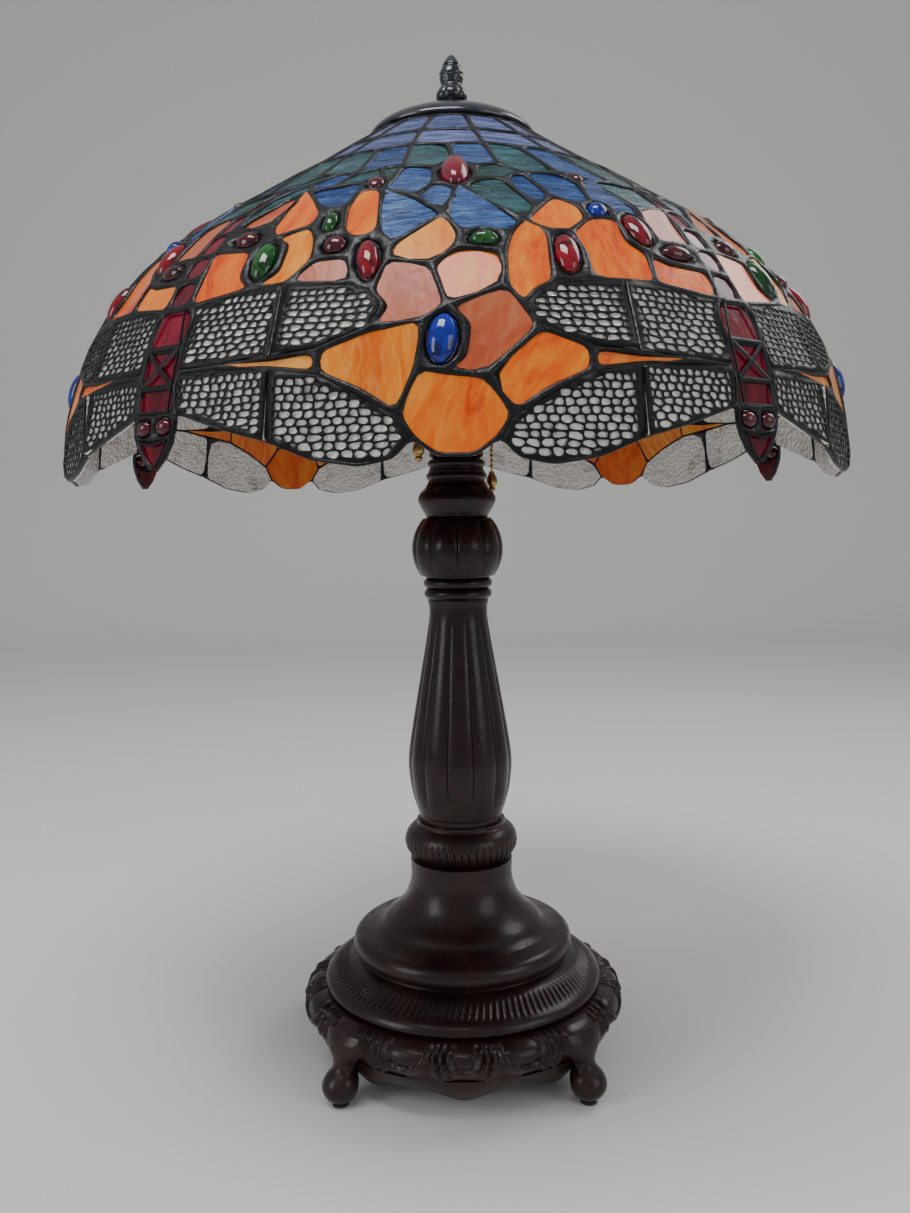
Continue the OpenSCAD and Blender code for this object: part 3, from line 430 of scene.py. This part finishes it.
paint(jewel_glass("red_jewel", (0.05, 0.0, 0.003), (0.34, 0.001, 0.015)), "red_jewels")
paint(jewel_glass("garnet_jewel", (0.012, 0.0, 0.002), (0.1, 0.001, 0.01)), "garnet_jewels")
paint(jewel_glass("eye_jewel", (0.015, 0.0, 0.002), (0.1, 0.0005, 0.01)), "eye_jewels")
paint(jewel_glass("green_jewel", (0.002, 0.02, 0.004), (0.01, 0.14, 0.015)), "green_jewels")
paint(jewel_glass("blue_jewel", (0.001, 0.004, 0.07), (0.004, 0.025, 0.46)), "blue_jewels")
paint(jewel_glass("cabochon", (0.1, 0.0, 0.01), (0.28, 0.01, 0.035)), "cabochons")

# ---- wing lace ----
# A sheet of etched metal, blackened, laid on each wing: rows of pebble-shaped holes that grow longer
# towards the lower edge, with a broad band round the wing.
blackened = Finish("filigree", 0.44, metal=0.1, coat=0.0, gloss=0.25)
tarnish = blackened.noise(blackened.place, 300, 4)
blackened.set("Base Color", blackened.ramp(tarnish, [(0.35, (0.002, 0.002, 0.002)),
                                                     (0.72, (0.007, 0.007, 0.008))]))
blackened.set("Roughness", blackened.grey(tarnish, 0.36, 0.56))
blackened.bump(tarnish, 0.3, 0.0006)


def cut_half(shape, tags, point, normal, tag):
    """The part of a convex outline on the near side of a line; the new side carries the tag."""
    kept, kept_tags = [], []
    count = len(shape)
    for k in range(count):
        a, b = shape[k], shape[(k + 1) % count]
        da, db = (a - point).dot(normal), (b - point).dot(normal)
        if da <= 0:
            kept.append(a)
            kept_tags.append(tags[k])
        if (da < 0 < db) or (db < 0 < da):
            cross = a + (b - a) * (da / (da - db))
            kept.append(cross)
            kept_tags.append(tag if da < 0 else tags[k])
    return kept, kept_tags


def shrink(shape, gaps):
    """A convex outline with each side moved inwards by its own gap, or None where nothing is left."""
    left = list(shape)
    tags = [0] * len(left)
    for k, gap in enumerate(gaps):
        a, b = shape[k], shape[(k + 1) % len(shape)]
        side = b - a
        if side.length < 1e-7:
            continue
        normal = Vector((side.y, -side.x)).normalized()
        left, tags = cut_half(left, tags, a - normal * gap, normal, 0)
        if len(left) < 3:
            return None
    tidy = [p for k, p in enumerate(left) if (p - left[k - 1]).length > 1e-5]
    area = sum(p.cross(q) for p, q in zip(tidy, tidy[1:] + tidy[:1])) / 2
    return tidy if len(tidy) > 2 and area > 2.5e-7 else None


def lace_cells(outline, chance):
    """Pebble cells over a wing pane, as (corners, tags); tag 1 is a side on the outline."""
    low_x, high_x = min(p.x for p in outline), max(p.x for p in outline)
    low_y, high_y = min(p.y for p in outline), max(p.y for p in outline)
    squeeze = 0.6
    row = 0.0034
    seeds = []
    rows = max(3, round((high_y - low_y) / row))
    for j in range(rows):
        y = low_y + (j + 0.5) * (high_y - low_y) / rows
        low_share = 1 - j / (rows - 1)
        pitch = 0.004 + 0.0024 * low_share
        x = low_x + chance.uniform(0, pitch)
        while x < high_x:
            seeds.append(Vector(((x + chance.uniform(-0.3, 0.3) * pitch) * squeeze,
                                 y + chance.uniform(-0.16, 0.16) * row)))
            x += pitch
    frame_shape = [Vector((p.x * squeeze, p.y)) for p in outline]
    if sum(p.cross(q) for p, q in zip(frame_shape, frame_shape[1:] + frame_shape[:1])) < 0:
        frame_shape.reverse()
    cells = []
    for seed in seeds:
        shape, tags = list(frame_shape), [1] * len(frame_shape)
        near = sorted((s for s in seeds if s is not seed), key=lambda s: (s - seed).length_squared)[:16]
        for other in near:
            shape, tags = cut_half(shape, tags, (seed + other) / 2, other - seed, 0)
            if len(shape) < 3:
                break
        if len(shape) > 2:
            cells.append(([Vector((p.x / squeeze, p.y)) for p in shape], tags))
    return cells


def lace_sheet(name, panes, seed):
    chance = random.Random(seed)
    web = 0.00042
    band = 0.0028
    bm = bmesh.new()
    for outline, place in panes:
        for shape, tags in lace_cells(outline, chance):
            hole = shrink(shape, [band if tag else web for tag in tags])
            corners = [bm.verts.new(place(p)) for p in shape]
            if hole is None:
                bm.faces.new(corners)
                continue
            count = len(hole)
            ring = []
            for k in range(count):
                before, here, after = hole[k - 1], hole[k], hole[(k + 1) % count]
                ring += [here.lerp(before, 0.3), here.lerp(after, 0.3)]
            inner = [bm.verts.new(place(p)) for p in ring]
            edges = [bm.edges.new((loop[k], loop[(k + 1) % len(loop)])) for loop in (corners, inner)
                     for k in range(len(loop))]
            bmesh.ops.triangle_fill(bm, edges=edges, use_beauty=True, use_dissolve=False)
    bmesh.ops.remove_doubles(bm, verts=bm.verts, dist=2e-5)
    return bm


def grown(outline, reach):
    """An outline with its sides moved outwards, so that the plate runs on under the solder."""
    count = len(outline)
    side = 1 if sum(outline[k - 1].cross(outline[k]) for k in range(count)) > 0 else -1
    grown_line = []
    for k in range(count):
        before = (outline[k] - outline[k - 1]).normalized()
        after = (outline[(k + 1) % count] - outline[k]).normalized()
        a, b = Vector((before.y, -before.x)) * side, Vector((after.y, -after.x)) * side
        grown_line.append(outline[k] + (a + b) * (reach / max(0.4, 1 + a.dot(b))))
    return grown_line


def wing_plates():
    """Each dragonfly's eight wing panes with the plane that their lace lies in."""
    bm = joined("wing_glass")
    groups = {}
    for group in islands(bm):
        caps = sorted(group, key=lambda f: f.calc_area())[-2:]
        front = caps[0] if outward(caps[0]) else caps[1]
        level, rise = pane_axes(front.normal)
        middle = front.calc_center_median()
        normal = front.normal.copy()
        points = [v.co - middle for v in front.verts]
        outline = grown([Vector((p.dot(level), p.dot(rise))) for p in points], 0.0012)

        def place(p, middle=middle, level=level, rise=rise, normal=normal):
            return middle + level * p.x + rise * p.y + normal * 0.0007

        around = math.degrees(math.atan2(middle.x, -middle.y)) % 360
        groups.setdefault(int(around // 72), []).append((outline, place))
    bm.free()
    return groups


lace_pieces = []
for number, plates in sorted(wing_plates().items()):
    lace = lace_sheet("lace", plates, 30 + number)
    lace_pieces.append(new_piece("wing_lace_%d" % (number + 1), lace, "shade",
                                 blackened.material, smooth=30))
for piece in lace_pieces:
    thick = piece.modifiers.new("thick", "SOLIDIFY")
    thick.thickness = 0.0005
    thick.offset = 0
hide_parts("wing_filigree")
paint(blackened.material, "body_filigree")


# ---- dark cast metal of the base and stem ----
# Cast white metal with a brown-black antique finish, rubbed through to red brown on the high places and
# sealed with a satin lacquer.
def antique(name, rough, dark, rubbed):
    cast = Finish(name, rough, metal=0.1, coat=0.14, gloss=0.3)
    patches = cast.noise(cast.place, 38, 5, 0.6, 0.5)
    grain = cast.noise(cast.place, 420, 3)
    cast.set("Base Color", cast.ramp(patches, [(0.32, dark), (0.68, rubbed)]))
    cast.set("Roughness", cast.grey(cast.noise(cast.place, 90, 4), rough - 0.08, rough + 0.12))
    cast.bump(cast.sum(patches, cast.sum(grain, 0.25, "MULTIPLY")), 0.22, 0.0012)
    return cast.material


bronze_base = antique("bronze_cast", 0.34, (0.008, 0.0032, 0.0025), (0.026, 0.009, 0.0065))
bronze_stem = antique("bronze_stem", 0.27, (0.006, 0.0022, 0.0018), (0.02, 0.0055, 0.004))
paint(bronze_stem, "stem_rings", "neck_cup", "socket_cluster")


def revolved(profile, steps, carve=None):
    """A closed turned body. profile is (radius, height) in mm round the section, carve moves its points."""
    bm = bmesh.new()
    rings = []
    for k, (r, z) in enumerate(profile):
        ring = []
        for i in range(steps):
            a = 2 * math.pi * i / steps
            rr, zz = carve(a, k, r, z) if carve else (r, z)
            ring.append(bm.verts.new((rr * math.sin(a) / 1000, -rr * math.cos(a) / 1000, zz / 1000)))
        rings.append(ring)
    count = len(rings)
    for k in range(count):
        a, b = rings[k], rings[(k + 1) % count]
        for i in range(steps):
            j = (i + 1) % steps
            bm.faces.new((a[i], a[j], b[j], b[i]))
    return bm


def curve_through(points, steps):
    """A smooth line through given points."""
    line = []
    last = len(points) - 1
    for i in range(last):
        a, b = points[max(0, i - 1)], points[i]
        c, d = points[i + 1], points[min(last, i + 2)]
        for k in range(steps):
            u = k / steps
            line.append(tuple(0.5 * (2 * b[n] + (c[n] - a[n]) * u
                                     + (2 * a[n] - 5 * b[n] + 4 * c[n] - d[n]) * u * u
                                     + (3 * b[n] - a[n] - 3 * c[n] + d[n]) * u ** 3) for n in range(len(b))))
    return line + [tuple(points[-1])]


def low_mm(node):
    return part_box(node)[0][2] * 1000


def high_mm(node):
    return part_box(node)[1][2] * 1000


bore = 5.05

# ---- pleated ball ----
# The knop under the neck: a cast ball with broad lobes and a sharp furrow between two of them, which
# fade towards its foot.
ball_low, ball_high = low_mm("stem_ball"), high_mm("stem_ball")
ball_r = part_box("stem_ball")[1][0] * 1000
ball_middle = ball_low + 18


def ball_carve(a, k, r, z):
    up = (z - ball_middle) / 22
    strength = max(0, 1 - up * up) * min(1, max(0.15, 0.75 + 0.7 * up)) if r > 19.6 else 0
    lobe = abs(math.sin(5 * a))
    return r - 2.9 * strength * (1 - lobe ** 0.45), z


ball_line = [(bore, ball_low), (20.5, ball_low), (20.8, ball_low + 1)]
ball_line += [(ball_r * math.cos(t), ball_middle + ball_r * math.sin(t))
              for t in [math.radians(-36 + 78 * k / 26) for k in range(27)]]
ball_line += [(19.4, ball_high - 0.3), (19.2, ball_high), (bore, ball_high)]
new_piece("pleated_ball", revolved(ball_line, 384, ball_carve), "stand", bronze_stem,
          ("stem_ball",))

# ---- reeded vase ----
# The long stem: a cast vase that swells low down, with shallow reeds that follow it up to the neck.
# It is screwed between the collar and the two beads by the threaded tube inside.
vase_low, vase_high = low_mm("stem_vase"), high_mm("stem_vase")
vase_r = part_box("stem_vase")[1][0] * 1000


def vase_carve(a, k, r, z):
    rise = (z - vase_low - 8) / 14
    fall = (vase_high - 8 - z) / 10
    strength = max(0, min(1, rise, fall)) if r > 15 else 0
    lobe = abs(math.cos(6 * a))
    depth = 0.7 + 1.1 * (r - 18) / 15
    return r - depth * strength * (1 - lobe ** 0.5), z


vase_line = [(bore, vase_low), (26.5, vase_low), (26.5, vase_low + 3)]
vase_line += curve_through([(27, vase_low + 4), (31, vase_low + 17), (vase_r - 0.7, vase_low + 27),
                            (vase_r, vase_low + 37), (32.6, vase_low + 48), (29, vase_low + 70),
                            (24.6, vase_low + 95), (20.6, vase_low + 118), (18.6, vase_low + 132),
                            (18.6, vase_high - 4)], 5)
vase_line += [(19.3, vase_high - 1.5), (19.3, vase_high), (bore, vase_high)]
new_piece("reeded_vase", revolved(vase_line, 384, vase_carve), "stand", bronze_stem,
          ("stem_vase",))

# ---- gadrooned collar ----
# The ring on top of the bell, nicked all round like a coin with slanting gadroons on its lower half.
collar_low, collar_high = low_mm("base_collar"), high_mm("base_collar")
collar_middle = collar_low + 13.5


def collar_carve(a, k, r, z):
    if r < 27:
        return r, z
    low = min(1, max(0, (collar_middle + 5 - z) / 6)) * min(1, max(0, (z - collar_middle + 11) / 5))
    groove = (1 - abs(math.sin(24 * a + (z - collar_middle) * 0.06))) ** 2
    return r - 1.5 * low * groove, z


collar_line = [(bore, collar_low), (33, collar_low), (33, collar_low + 1.6), (30, collar_low + 2.2)]
collar_line += [(24.5 + 12 * math.cos(t), collar_middle + 11.6 * math.sin(t))
                for t in [math.radians(-68 + 136 * k / 22) for k in range(23)]]
collar_line += [(28.6, collar_high - 2), (28.6, collar_high), (bore, collar_high)]
new_piece("gadrooned_collar", revolved(collar_line, 480, collar_carve), "stand", bronze_base,
          ("base_collar",))

# ---- carved base ----
# One hollow casting: a bell, a round moulding, a sloping step with a band of slanting ribs, and a rim
# carved with scrolls and leaves over an apron and four bent legs with ball feet.
base_high = high_mm("base_casting")
rim_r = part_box("base_casting")[1][0] * 1000 - 0.8
quarter = math.radians(45) * rim_r


def arc_line(x, y, rx, ry, start, end, steps=10):
    return [(x + rx * math.cos(t), y + ry * math.sin(t))
            for t in [math.radians(start + (end - start) * k / steps) for k in range(steps + 1)]]


# raised lines of the carving, in mm along the rim from the middle of a side and in mm down from its top
scrolls = [
    (arc_line(0, 7, 9.5, 10, 0, 180), 1.9, 3.0), ([(6, 2.4), (6.1, 2.6)], 1.9, 2.8),
    ([(12.6, 2), (14, 9), (12.6, 16), (9.5, 20)], 1.5, 2.4),
    ([(17, 2), (18.6, 9), (17, 17), (13, 22)], 1.6, 2.4),
    (curve_through([(21, 2), (22, 9), (27, 15), (36, 18), (46, 15), (50, 8), (46, 2)], 3), 2.0, 3.1),
    (curve_through([(15, 23), (24, 21.5), (34, 22)], 3), 1.5, 1.8),
    ([(55, 2), (56.5, 9), (55.5, 16), (51, 21)], 1.6, 2.3),
    ([(60, 2), (61.5, 9), (60.5, 17), (57, 22)], 1.5, 2.0),
    (arc_line(quarter, 5, 15, 13, 95, 180), 1.8, 2.6),
]
# swelling leaves and shields between them: middle, half sizes, height
swells = [(0, 7, 8.5, 8.5, 1.6), (35, 8, 13, 8, 1.9), (quarter, 6, 14, 11, 1.7)]
rim_points = 26


def to_line(x, y, line):
    nearest = 1e9
    for (ax, ay), (bx, by) in zip(line, line[1:]):
        dx, dy = bx - ax, by - ay
        t = max(0, min(1, ((x - ax) * dx + (y - ay) * dy) / (dx * dx + dy * dy)))
        nearest = min(nearest, math.hypot(x - ax - t * dx, y - ay - t * dy))
    return nearest


def relief(x, y):
    """Height of the carving at a place on the rim."""
    height = 0
    for middle_x, middle_y, half_x, half_y, tall in swells:
        d = math.hypot((x - middle_x) / half_x, (y - middle_y) / half_y)
        if d < 1:
            height = max(height, tall * (1 - d ** 4))
    for line, width, tall in scrolls:
        d = to_line(x, y, line) / width
        if d < 2:
            height = max(height, tall * math.exp(-d * d))
    return height


relief_table = {}


def rim_relief(a, step):
    """The carving repeats on the four sides and is its own mirror image on each."""
    folded = abs((math.degrees(a) + 45) % 90 - 45)
    key = (round(folded * 4), step)
    if key not in relief_table:
        fade = min(1, step / 3, (rim_points - 1 - step) / 2)
        relief_table[key] = fade * relief(math.radians(folded) * rim_r, step * 27.0 / (rim_points - 1))
    return relief_table[key]


bell_line = curve_through([(57, 80.5), (53, 83.5), (49.5, 87.5), (43, 93), (37, 100.5), (33.5, 109.5),
                           (32.6, 117)], 4)
moulding = [(64 + 7 * math.cos(t), 72 + 7.4 * math.sin(t))
            for t in [math.radians(-70 + 150 * k / 18) for k in range(19)]]
step_line = curve_through([(rim_r - 14, 47.4), (rim_r - 13.4, 49.4), (rim_r - 15.5, 53), (rim_r - 22, 57),
                           (rim_r - 30, 61.5), (67, 64)], 6)
rim_line = curve_through([(rim_r - 9, 22), (rim_r - 5, 26), (rim_r - 1.6, 31), (rim_r - 0.8, 36),
                          (rim_r - 3, 41.5), (rim_r - 8, 45), (rim_r - 14, 46.6)], 4)[::-1]
rim_line = [rim_line[round(k * (len(rim_line) - 1) / (rim_points - 1))] for k in range(rim_points)]
inside = [(27, base_high - 6), (27.5, 110), (32, 101), (40, 90), (48, 82.5), (58, 75), (58, 62), (66, 58),
          (rim_r - 19, 48), (rim_r - 17, 42), (rim_r - 9, 40), (rim_r - 7, 36), (rim_r - 8, 31),
          (rim_r - 12, 26), (rim_r - 12, 21)]
collar_seat = [(33, 119.5), (33, base_high), (bore, base_high), (bore, base_high - 6)]
outside = rim_line[::-1] + step_line + moulding + bell_line + collar_seat
ground = 1.4


def base_carve(a, k, r, z):
    if k < rim_points:
        raised = rim_relief(a, rim_points - 1 - k)
        return r + raised - ground, z + raised * 0.4
    if rim_r - 30 < r < rim_r - 18 and z > 52 and k < rim_points + len(step_line):
        rib = abs(math.sin(60 * a - (z - 57) * 0.35))
        edge = min(1, (r - rim_r + 30) / 3, (rim_r - 18 - r) / 3)
        return r - 0.7 * edge * (1 - rib), z - 0.7 * edge * (1 - rib)
    return r, z


base_bm = revolved(outside + inside, 720, base_carve)


def add_apron(bm):
    """A thin wall under the rim; its lower edge drops to a point in the middle of each side."""
    steps = 360
    rings = []
    for share, thick in ((0, 0), (0.35, 0), (0.7, 0), (1, 0), (1, 4), (0.5, 4), (0, 4)):
        ring = []
        for i in range(steps):
            a = 2 * math.pi * i / steps
            folded = abs((math.degrees(a) + 45) % 90 - 45)
            drop = 11 + 5 * (1 - math.exp(-((folded / 9) ** 2))) - 5 * math.exp(-(((folded - 38) / 9) ** 2))
            z = 27 + (drop - 27) * share
            r = rim_r - 4.5 - 9 * share ** 1.5 - thick
            ring.append(bm.verts.new((r * math.sin(a) / 1000, -r * math.cos(a) / 1000, z / 1000)))
        rings.append(ring)
    for k in range(len(rings)):
        lower, upper = rings[k], rings[(k + 1) % len(rings)]
        for i in range(steps):
            j = (i + 1) % steps
            bm.faces.new((lower[i], lower[j], upper[j], upper[i]))


def add_leg(bm, angle):
    """A bent leg, round in section, that ends in a ball foot flattened on its pad."""
    ball = 11
    path = curve_through([(94, 43, 8, 19), (96.5, 38, 8.5, 18), (98.5, 33, 8, 14.5), (99.5, 28.5, 6.8, 10.5),
                          (100, 25, 6.2, 8), (101.2, 22, 6.4, 7)], 4)
    foot = [(104 - 2.5 * max(0, math.sin(t)), 12.3 + ball * math.sin(t), ball * math.cos(t),
             ball * math.cos(t))
            for t in [math.radians(46 - 116 * k / 16) for k in range(17)]]
    sides = 32
    rings = []
    for r, z, deep, wide in path + foot:
        ring = []
        for i in range(sides):
            t = 2 * math.pi * i / sides
            x, y = r + deep * math.cos(t), wide * math.sin(t)
            c, s = math.cos(angle), math.sin(angle)
            ring.append(bm.verts.new(((x * c - y * s) / 1000, (x * s + y * c) / 1000, max(1.5, z) / 1000)))
        rings.append(ring)
    for low, high in zip(rings, rings[1:]):
        for i in range(sides):
            j = (i + 1) % sides
            bm.faces.new((low[i], low[j], high[j], high[i]))
    bm.faces.new(rings[0])
    bm.faces.new(rings[-1])


add_apron(base_bm)
for corner in (45, 135, 225, 315):
    add_leg(base_bm, math.radians(corner))
new_piece("carved_base", base_bm, "stand", bronze_base, ("base_casting",))

# ---- cap and finial ----
# The shade hangs from a spun cap with a rolled edge, held by a cast finial: a cup of leaves, a waist and a
# bud of overlapping leaves. Both are lacquered blue black.
lacquer = Finish("cap_metal", 0.2, metal=0.2, coat=0.4, gloss=0.4)
haze = lacquer.noise(lacquer.place, 120, 4)
lacquer.set("Base Color", lacquer.ramp(haze, [(0.35, (0.009, 0.011, 0.016)), (0.68, (0.024, 0.029, 0.04))]))
lacquer.set("Roughness", lacquer.grey(haze, 0.15, 0.32))
lacquer.bump(haze, 0.12, 0.001)
paint(lacquer.material, "vented_cap")

finial_low, finial_high = low_mm("finial"), high_mm("finial")


def finial_carve(a, k, r, z):
    h = z - finial_low
    if r < 4:
        return r, z
    if h < 15:
        leaf = abs(math.cos(3 * a))
        swell = math.exp(-((h - 7.5) / 4.6) ** 2)
        return r + swell * (1.1 * leaf ** 0.6 - 0.7), z
    leaf = abs(math.cos(2.5 * a + math.floor((h - 15) / 5.5) * 0.8))
    tier = 1 - ((h - 15) % 5.5) / 5.5
    return r + 0.5 * leaf * tier + 0.4 * tier - 0.4, z


finial_line = [(3.25, finial_low + 18), (3.25, finial_low), (6, finial_low)]
finial_line += [(r, finial_low + h) for r, h in curve_through(
    [(6.4, 0.6), (6.2, 1.8), (7.4, 3), (9.4, 5.6), (9.4, 8.6), (7.8, 11.6), (6.2, 14), (6.6, 16),
     (7.4, 18.6), (6.8, 22), (5.6, 25.4), (4, 28.6), (2, 31.2), (0.6, 32)], 5)]
finial_line += [(0.1, finial_high), (0.1, finial_low + 18)]
new_piece("leaf_finial", revolved(finial_line, 144, finial_carve), "finial", lacquer.material,
          ("finial",), smooth=60)


# ---- brass fittings ----
# Spun and turned brass, aged to a dull gold: sockets, switches, chains, seat and washers.
def metal(name, dark, bright, low, high, grain=160):
    made = Finish(name, low, metal=1.0)
    spots = made.noise(made.place, grain, 5, 0.6)
    made.set("Base Color", made.ramp(spots, [(0.35, dark), (0.65, bright)]))
    made.set("Roughness", made.grey(spots, low, high))
    made.bump(spots, 0.15, 0.0006)
    return made.material


brass = metal("brass", (0.3, 0.18, 0.06), (0.62, 0.42, 0.16), 0.22, 0.42)
steel = metal("steel", (0.3, 0.3, 0.31), (0.55, 0.55, 0.56), 0.28, 0.5)
iron = metal("ballast_iron", (0.05, 0.05, 0.052), (0.14, 0.13, 0.12), 0.5, 0.75)
nickel = metal("nickel", (0.5, 0.46, 0.4), (0.72, 0.68, 0.6), 0.2, 0.38)
paint(brass, "socket_shells", "chain_switches", "shade_seat", "pull_chain_right", "pull_knob_right",
      "pull_chain_left", "pull_knob_left", "top_ring", "finial_washer", "tube_nut", "socket_contacts")
paint(steel, "lamp_tube", "tube_washer", "spindle")
paint(iron, "ballast_disc")
paint(nickel, "screw_shells")


# ---- plastics, paper and felt ----
# Moulded black insulators, the card liner of each socket, and the felt under the feet and the cover.
def matt(name, dark, bright, rough, scale, depth):
    made = Finish(name, rough)
    fibre = made.noise(made.place, scale, 5, 0.7)
    made.set("Base Color", made.ramp(fibre, [(0.3, dark), (0.7, bright)]))
    made.set("Roughness", made.grey(fibre, rough - 0.1, min(1, rough + 0.1)))
    made.bump(fibre, depth, 0.0008)
    return made.material


paint(matt("felt", (0.012, 0.014, 0.012), (0.05, 0.055, 0.05), 0.9, 900, 0.8), "foot_pads")
paint(matt("cover_board", (0.015, 0.015, 0.014), (0.05, 0.048, 0.044), 0.85, 500, 0.5), "base_cover")
paint(matt("bushing", (0.01, 0.01, 0.01), (0.03, 0.03, 0.03), 0.45, 300, 0.2), "cord_bushing")
paint(matt("phenolic", (0.012, 0.01, 0.009), (0.04, 0.032, 0.028), 0.35, 200, 0.15), "socket_bases")
paint(matt("liner_paper", (0.5, 0.46, 0.36), (0.72, 0.68, 0.56), 0.85, 400, 0.4), "socket_liners")
